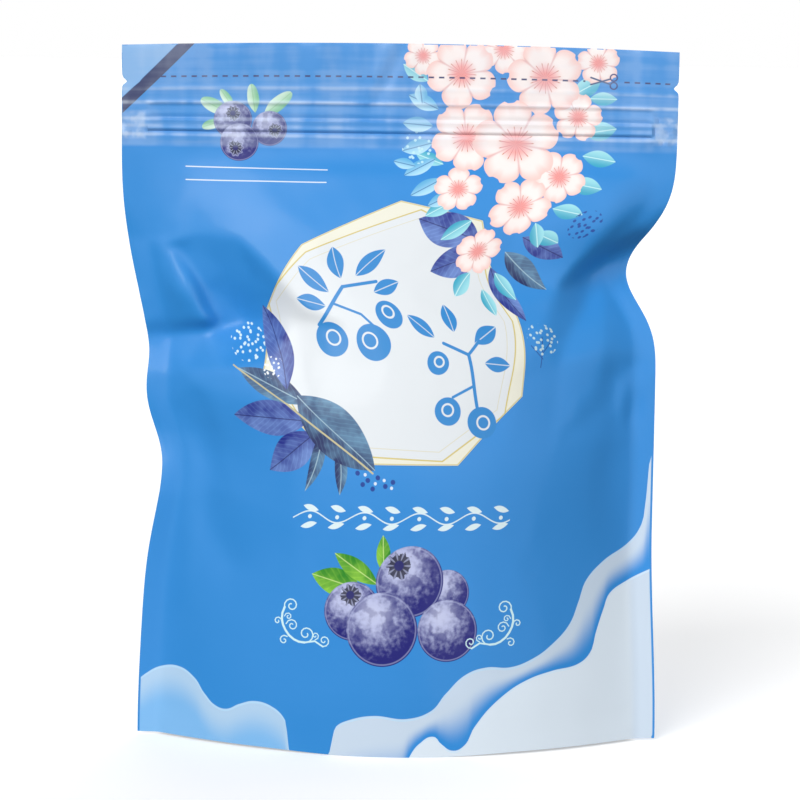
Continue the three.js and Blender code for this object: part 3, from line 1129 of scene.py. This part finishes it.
def draw_plaque(colour, place):
    plaque, gold = polygon(place, PLAQUE), polygon(place, GOLD_LINES)
    paper = fill(CREAM, gold, PAPER)
    paper = fill(paper, abs(gold) - 0.25, GOLD)
    paper = fill(paper, abs(gold + 3.2) - 0.12, GOLD, 0.5)
    colour = fill(colour, plaque - 0.4, ink(60, 128, 196), 0.5)
    colour = fill(colour, plaque, paper)
    return fill(colour, abs(plaque + 0.3) - 0.22, GOLD, 0.8)


print_motif(PLAQUE, 1, draw_plaque)

FLAT = (FLAT_BLUE, FLAT_BLUE, PAPER)
for base, tip, width in [
    ((-22, 168), (-33, 178), 6.5), ((-16, 173), (-20, 185), 6.5), ((-10, 174), (1, 184), 6.5),
    ((-25, 163), (-36, 166), 6), ((14, 152), (6, 160), 5.5), ((22, 154), (22, 164), 5.5),
    ((29, 150), (39, 156), 6), ((32, 143), (42, 142), 5.5), ((-4, 168), (7, 172), 5.5),
]:
    print_leaf(base, tip, width, *FLAT)
print_lines([((-30, 156), (-16, 170), 1.3), ((-16, 170), (-2, 172), 1.2), ((-22, 164), (-12, 160), 1),
             ((-12, 160), (-6, 153), 1), ((30, 124), (26, 146), 1.3), ((26, 146), (17, 150), 1.2),
             ((26, 146), (31, 151), 1.1), ((28, 135), (20, 131), 1)], FLAT_BLUE)
for middle, radius, crown in [((-26, 151), 6.2, (0.1, 0.1)), ((-10, 150), 6.6, (-0.2, 0.1)),
                              ((-1, 160), 5, (0, 0.2)), ((31, 122), 5.6, (0.1, 0)),
                              ((18, 126), 5, (0, 0.1)), ((14, 143), 4.2, (0.1, 0.1))]:
    print_discs([(middle, radius)], FLAT_BLUE)
    crown_at = np.array(middle) + radius * np.array(crown)
    print_rings([(crown_at, radius * 0.42, 0.7)], PAPER)
print("plaque motifs:", len(motifs))

# %% [markdown]
# ## Leaves at the plaque
#
# Dark leaves lean on the plaque's lower left, with thin gold twigs over them and sprays of tiny flowers
# behind. Berries no larger than a pinhead hang under them.

# %% Leaves round the plaque
for base, tip, width, inks in [
    ((-36, 128), (-64, 141), 9, SLATE), ((-44, 133), (-51, 163), 10.5, VIOLET),
    ((-36, 122), (-66, 124), 13, VIOLET), ((-34, 118), (-56, 104), 12, VIOLET),
    ((-30, 120), (-41, 97), 5, SLATE), ((-26, 114), (-27, 96), 5, SLATE),
    ((-40, 131), (-13, 105), 19, SLATE),
]:
    print_leaf(base, tip, width, *inks, veins_every=2.6)
print_lines([((-66, 142), (-44, 128), 0.5), ((-44, 128), (-14, 104), 0.7)], ink(196, 188, 150))
print_spray((-60, 150), 7, ink(222, 242, 246))
print_lines([((54, 141), (56, 152), 0.3), ((55, 146), (60, 151), 0.3), ((55, 144), (51, 149), 0.3)],
            ink(48, 92, 160))
print_spray((56, 151), 6, ink(196, 222, 226), 1.9, 0.5)
print_spray((-50, 141), 4, WHITE_INK, 1.6, 0.4)
print_discs([((x, y), 0.9) for x, y in [(-20, 104), (-16, 101.5), (-12, 102.5), (-9, 99.5), (-6, 101),
                                        (-14, 98.5), (-18, 100)]], ink(60, 84, 156))
print_discs([((x, y), 0.6) for x, y in [(-17, 103.5), (-13, 100.4), (-9.5, 101.6), (-6.5, 98.9)]],
            ink(214, 226, 240))
print("motifs:", len(motifs))

# %% [markdown]
# ## The bouquet
#
# Pale pink blossoms with turquoise leaves fill the upper right, from the top edge down to the plaque. The
# leaves are printed first, then the blossoms from the back to the front, so that they overlap as they would
# in a bunch.

# %% Bouquet
for base, tip, width, inks in [
    ((36, 188), (10, 196), 13, VIOLET), ((40, 184), (20, 176), 12, VIOLET),
    ((44, 178), (52, 158), 8, VIOLET), ((48, 184), (66, 170), 9, SLATE), ((52, 190), (72, 182), 8, VIOLET),
]:
    print_leaf(base, tip, width, *inks, veins_every=2.6)
for base, tip, width in [
    ((22, 204), (12, 197), 6), ((30, 196), (21, 188), 6), ((36, 176), (28, 167), 5.5),
    ((46, 176), (52, 166), 6), ((56, 192), (67, 188), 6), ((58, 202), (70, 200), 6),
    ((62, 212), (74, 210), 6.5), ((66, 222), (78, 220), 6), ((66, 230), (78, 232), 7),
    ((62, 244), (72, 250), 6.5), ((54, 196), (60, 186), 5), ((40, 170), (41, 160), 5),
    ((10, 248), (1, 254), 5.5), ((68, 243), (78, 243), 5), ((16, 218), (6, 222), 5),
]:
    print_leaf(base, tip, width, *TEAL)
for base, tip, width in [
    ((14, 238), (3, 243), 5.5), ((12, 232), (1, 233), 5.5), ((12, 226), (1, 223), 5.5),
    ((13, 220), (2, 213), 5.5), ((16, 212), (5, 205), 5.5), ((20, 206), (12, 201), 5),
    ((8, 240), (7, 247), 4.5), ((6, 217), (-2, 219), 4.5),
]:
    print_leaf(base, tip, width, *SKY)
print_spray((7, 224), 6, ink(190, 228, 240), 2.4, 0.5)
print_spray((73, 196), 6, ink(40, 84, 158), 2.2, 0.6)
for middle, radius, turned in [
    ((8, 257), 7, 0.3), ((71, 256), 8, 0.8), ((37, 260), 9, 0.2), ((58, 214), 10, 0.4),
    ((64, 236), 9, 1.1), ((22, 208), 9, 0.9), ((24, 228), 13, 0.2), ((52, 250), 14, 0.7),
    ((22, 251), 13, 0.5), ((46, 202), 11.5, 0.1), ((37, 184), 9, 1.0), ((42, 226), 16, 0.8),
]:
    print_blossom(middle, radius, turned)
print("motifs:", len(motifs))

# %% [markdown]
# ## Corner, berries and tear line
#
# The upper left corner has a pale triangle and a dark ribbon. Under the top seal a dashed line with a pair
# of scissors shows where to cut, and three berries sit over the zip, above two thin white rules.

# %% Corner and tear line
RIBBON_AT = 338.4  # up minus across, along the ribbon's middle
DIAGONAL = math.sqrt(0.5)


def draw_corner(colour, place):
    slope = dot(place, (DIAGONAL, -DIAGONAL)) + RIBBON_AT * DIAGONAL
    colour = fill(colour, slope + 2.2, ink(134, 178, 225))
    colour = fill(colour, abs(slope) - 2.1, ink(46, 66, 106))
    return fill(colour, abs(slope - 2.0) - 0.2, ink(40, 56, 92))


print_motif([(-100, 236), (-75, 262)], 1, draw_corner)

TEAR_LINE, DASH_EVERY, DASH = 249.4, 3.7, 1.9
DASHES_FROM, DASHES_TO, SCISSORS_AT, SCISSORS_GAP = -86.5, 98.5, 72.6, 6.2


def draw_dashes(colour, place):
    u, v = parted(place)
    within = abs(calc("WRAP", u, DASH_EVERY / 2, -DASH_EVERY / 2)) - DASH / 2
    on_line = abs(v - TEAR_LINE) - 0.3
    on_run = abs(u - (DASHES_FROM + DASHES_TO) / 2) - (DASHES_TO - DASHES_FROM) / 2
    clear = both(on_run, SCISSORS_GAP - abs(u - SCISSORS_AT))
    return fill(colour, both(within, on_line, clear), ink(12, 44, 108))


print_motif([(-87, TEAR_LINE), (99, TEAR_LINE)], 1, draw_dashes)
print_rings([((76.6, 251.0), 1.25, 0.5), ((76.6, 248.0), 1.25, 0.5)], NAVY)
print_lines([((75.4, 250.5), (68.4, 248.2), 0.6), ((75.4, 248.5), (68.4, 250.8), 0.6)], ink(70, 88, 128))

for base, tip, width in [((-62, 236), (-71.5, 241), 5), ((-60, 238), (-64.5, 244.5), 3.2),
                         ((-52, 236), (-53.5, 246.5), 4.2), ((-49, 235), (-39, 243.5), 5),
                         ((-64, 233), (-71, 230.5), 3.6)]:
    print_leaf(base, tip, width, *LIME, blunt=True)
for middle, radius, crown in [((-60, 233.4), 6.9, (0, 0.35)), ((-46.8, 230.4), 6.3, (0.3, -0.1)),
                              ((-57.6, 225.3), 6.9, (-0.2, -0.3))]:
    print_berry(middle, radius, crown, *DUSK)
print_lines([((-76.7, 216.2), (-25.7, 215), 0.4), ((-76.7, 211.3), (-25.9, 210), 0.4)], WHITE_INK, 0.8)
print("motifs:", len(motifs))

# %% [markdown]
# ## The foot of the front
#
# A running vine in white crosses the film under the plaque. Below it lies a heap of ripe berries with green
# leaves, and a scroll of fine curls on either side. A curl is a spiral, drawn as a run of short strokes.

# %% Vine, berries and scrolls
VINE_AT, VINE_WAVE = 88.0, 21.6  # how far up the vine is, and how long its waves are
VINE_MIDDLE, VINE_REACH = -1.5, 43


def draw_vine(colour, place):
    u, v = parted(place)
    v = v - VINE_AT
    stem = abs(v - calc("SINE", u * (2 * math.pi / VINE_WAVE)) * 2.0) - 0.25
    half = calc("WRAP", u + VINE_WAVE / 4, VINE_WAVE / 4, -VINE_WAVE / 4)
    share = half * (1 / 6.2) + 0.5
    leaf = abs(abs(v) - 3.1 + half * 0.25) - (share - share * share) * 4.6
    berry = calc("SQRT", half * half + v * v) - 0.75
    vine = both(either(stem, leaf, berry), abs(u - VINE_MIDDLE) - VINE_REACH)
    return fill(colour, vine, ink(222, 238, 240), 0.95)


print_motif([(-46, VINE_AT), (40, VINE_AT)], 6, draw_vine)

for base, tip, width in [((-14, 62), (-34, 67), 10), ((-8, 64), (-26, 75), 7), ((-6, 68), (-8, 82), 5.5)]:
    print_leaf(base, tip, width, *GREEN, veins_every=3.2)
for middle, radius, crown in [((18.5, 61), 8.6, None), ((-17.5, 54), 10.8, (-0.1, 0.55)),
                              ((4, 65.2), 13, (-0.35, 0.45)), ((19, 47.2), 11.4, None),
                              ((-6, 47.6), 13.6, None)]:
    print_berry(middle, radius, crown, *DUSK)


def curl(middle, radius, start, turns, steps):
    """Points along a spiral that winds in from its radius, starting at an angle in degrees."""
    wind = np.linspace(0, 1, steps)
    angle = np.radians(start + 360 * turns * wind)
    size = radius * (1 - 0.8 * wind)
    return np.array(middle) + np.stack([size * np.cos(angle), size * np.sin(angle)], -1)


# The right scroll: its stem and its curls, as runs of points with a width each.
STEM = [(43.6, 54), (44.4, 51.8), (44.5, 49.5), (44, 47.4), (43, 45.5), (41.5, 43.6), (39.5, 42.2),
        (37.6, 41.5), (35.5, 41.4)]
SCROLL = [(STEM, 0.8), (curl((41, 54.8), 2.9, -20, 1.3, 16), 0.45),
          (curl((35, 44.6), 3.2, -90, -1.3, 17), 0.45), (curl((40.4, 47.4), 2.4, 10, 1.3, 14), 0.4),
          ([(35.5, 41.4), (31.5, 42.2), (28.4, 40.4)], 0.6), (curl((28, 42.6), 2.2, -80, -1.2, 13), 0.4),
          (curl((42, 50.6), 1.5, 0, 1.2, 10), 0.35), (curl((31.4, 44.2), 1.5, -90, -1.2, 10), 0.35),
          (curl((46.1, 48.6), 1.7, 190, -1.1, 10), 0.4), (curl((43.4, 41.6), 1.9, 130, -1.1, 11), 0.4)]
for mirror in (-1, 1):
    for points, width in SCROLL:
        print_lines([((mirror * start[0], start[1]), (mirror * end[0], end[1]), width)
                     for start, end in zip(points, points[1:])], ink(206, 236, 240))
print("motifs:", len(motifs))

# %% [markdown]
# ## Film finish
#
# The laminate is satin: its gloss is broad and soft, a little uneven, and the heat seals are rippled
# finely up and down. The top seal is painted paler in streaks, partly as painted sheen, and the edges of
# the zip and the seal carry painted highlights. Colour, gloss and relief are put together here for each
# zone of the print.

# %% Materials by zone
ZONES_ACROSS = [-100, -20, 20, 100]
ZONES_UP = [0, 36, 96, 140, 172, 208, 236, FILM_TOP]
ZONE_MARGIN = 2
# Painted highlights along the zip's and the seal's edges: the place up the film and how pale.
PAINTED_EDGE_HIGHLIGHTS = [(227.8, 0.3), (231, 0.2), (233.6, 0.25), (239.8, 0.45), (245, 0.25)]
RELIEF_STRENGTH, RELIEF_DEPTH = 0.35, 0.0006  # of the ripples, the depth in metres


def film_finish(name, zone_motifs):
    """Satin film with the ground and the given motifs printed on it."""
    global drawing
    finish = bpy.data.materials.new(name)
    finish.use_nodes = True
    drawing = finish.node_tree
    shader = drawing.nodes["Principled BSDF"]
    place, u, v = film_place()
    colour = ground(u, v)
    for motif in zone_motifs:
        colour = Field(wire("ShaderNodeGroup", [colour, place], node_tree=motif).outputs[0])
    streaks = grain(place, 0.11, 2, (1.0, 0.3)) * 0.6 + grain(place, 0.3, 2, (0.05, 1.0)) * 0.4
    # The sealed strip at the top is painted paler in streaks: partly the frosted look of the seal, partly
    # painted sheen.
    sealed = ramp(v, FILM_BELLY - 0.5, FILM_BELLY + 1) * ramp(streaks, 0.35, 0.65, 0.05, 0.18)
    colour = blend(sealed, colour, ink(214, 226, 240))
    # Painted highlights along the edges of the zip and the seal.
    for height, strength in PAINTED_EDGE_HIGHLIGHTS:
        highlight_and_frost = ramp(abs(v - height), 0.1, 1.1, strength, 0) * ramp(streaks, 0.35, 0.6, 0.15, 1)
        colour = blend(highlight_and_frost, colour, ink(222, 232, 242))
    # At the crushed ends of the zip the film is frosted paler.
    crushed_end = both(HALF_REACH - ZIP_CRUSH - abs(u), abs(v - 231.3) - 5.5)
    highlight_and_frost = ramp(crushed_end, -1.5, 0.3, 1, 0) * ramp(grain(place, 0.22, 2), 0.4, 0.65, 0.08, 0.3)
    colour = blend(highlight_and_frost, colour, ink(226, 235, 243))
    drawing.links.new(colour.socket, shader.inputs["Base Color"])

    ripple = grain(place, 0.12, 2, (1.0, 0.12)) * ramp(v, FILM_BELLY - 4, FILM_BELLY + 10)
    soft = grain(place, 0.05, 3)
    relief = wire("ShaderNodeBump", [RELIEF_STRENGTH, RELIEF_DEPTH])
    drawing.links.new((ripple * 0.6 + soft * 0.5).socket, relief.inputs["Height"])
    drawing.links.new(relief.outputs[0], shader.inputs["Normal"])
    gloss = ramp(grain(place, 0.03, 2), 0.3, 0.7, 0.52, 0.62)
    drawing.links.new(gloss.socket, shader.inputs["Roughness"])
    shader.inputs["Specular IOR Level"].default_value = 0.55
    shader.inputs["Coat Weight"].default_value = 0.1
    shader.inputs["Coat Roughness"].default_value = 0.15
    return finish


plain_film = film_finish("plain_film", [])
mesh.materials.clear()
mesh.materials.append(plain_film)

corner_points = np.empty(len(mesh.loops), int)
mesh.loops.foreach_get("vertex_index", corner_points)
loop_starts = np.empty(len(mesh.polygons), int)
mesh.polygons.foreach_get("loop_start", loop_starts)


def of_faces(name):
    """A named number, averaged over the corners of each face."""
    totals = np.add.reduceat(numbers(name)[corner_points], loop_starts)
    return totals / np.diff([*loop_starts, len(corner_points)])


face_u, face_v, face_side = of_faces("across") * HALF_REACH, of_faces("up"), of_faces("side")
zone_of_face = np.zeros(len(mesh.polygons), int)
for low_u, high_u in zip(ZONES_ACROSS, ZONES_ACROSS[1:]):
    for low_v, high_v in zip(ZONES_UP, ZONES_UP[1:]):
        inside = [
            motif for box, motif in motifs
            if box[0] - ZONE_MARGIN < high_u and box[2] + ZONE_MARGIN > low_u
            and box[1] - ZONE_MARGIN < high_v and box[3] + ZONE_MARGIN > low_v
        ]
        if not inside:
            continue
        mesh.materials.append(film_finish(f"film_{low_u:.0f}_{low_v:.0f}", inside))
        on_zone = (face_side < -0.4) & (face_u >= low_u) & (face_u < high_u)
        on_zone &= (face_v >= low_v) & (face_v < high_v)
        zone_of_face[on_zone] = len(mesh.materials) - 1
        print("zone", low_u, low_v, "motifs", len(inside), "nodes", len(drawing.nodes))
mesh.polygons.foreach_set("material_index", zone_of_face)
mesh.update()

# %% Join the film to the part
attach(pouch, "root")
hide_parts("pouch")
print("faces:", len(mesh.polygons), "materials:", len(mesh.materials))

# %% [markdown]
# ## Studio
#
# The pouch was photographed on white, in soft light from the upper left. A wide pale floor runs to the
# horizon, and the sky of the studio is as pale as the floor near the horizon and dimmer overhead and
# underneath, so that the picture has no visible edge behind the pouch. Three broad lights are set up: the
# key from the upper left draws the folds, a weaker one fills in from the right, and one from behind lights
# the back. The floor throws no light back on the film, which keeps the folds dark on their lower sides.

# %% Floor and light
FLOOR_SIZE = 60
bpy.ops.mesh.primitive_plane_add(size=FLOOR_SIZE)
floor = bpy.context.object
floor.name = "floor"
floor_paint = bpy.data.materials.new("floor_paint")
floor_paint.use_nodes = True
paint = floor_paint.node_tree.nodes["Principled BSDF"].inputs
paint["Base Color"].default_value = (0.85, 0.85, 0.85, 1)
paint["Roughness"].default_value = 1.0
paint["Specular IOR Level"].default_value = 0.0
paint["Emission Color"].default_value = (1, 1, 1, 1)
paint["Emission Strength"].default_value = 0.3
floor.data.materials.append(floor_paint)
floor.visible_diffuse = floor.visible_glossy = False

HORIZON, OVERHEAD, UNDERNEATH = 1.0, 0.35, 0.25  # brightness of the studio's sky
world = bpy.data.worlds.new("studio")
world.use_nodes = True
drawing = world.node_tree
background = drawing.nodes["Background"]
background.inputs["Color"].default_value = (1, 1, 1, 1)
direction = wire("ShaderNodeTexCoord", [])
parts = wire("ShaderNodeSeparateXYZ", [Field(direction.outputs["Generated"])])
above = ramp(Field(parts.outputs[2]), 0.02, 0.2, HORIZON, OVERHEAD)
below = ramp(Field(parts.outputs[2]), -0.1, -0.01, UNDERNEATH, HORIZON)
strength = calc("MINIMUM", above, below)
drawing.links.new(strength.socket, background.inputs["Strength"])
scene.world = world
world.cycles_visibility.glossy = False

# The name of each light, where it comes from, its strength and how wide it is, in degrees.
LIGHTS = [("key", (-0.44, -0.76, 0.48), 2.35, 36), ("fill", (0.55, -0.82, 0.02), 1.25, 60),
          ("back", (0.35, 0.85, 0.4), 1.7, 80)]
for name, comes_from, strength, width in LIGHTS:
    comes_from = Vector(comes_from)
    bpy.ops.object.light_add(type="SUN", location=comes_from * 2)
    light = bpy.context.object
    light.name = name
    light.data.energy = strength
    light.data.angle = math.radians(width)
    light.rotation_euler = (-comes_from).to_track_quat("-Z", "Y").to_euler()
print("lights:", len(LIGHTS))
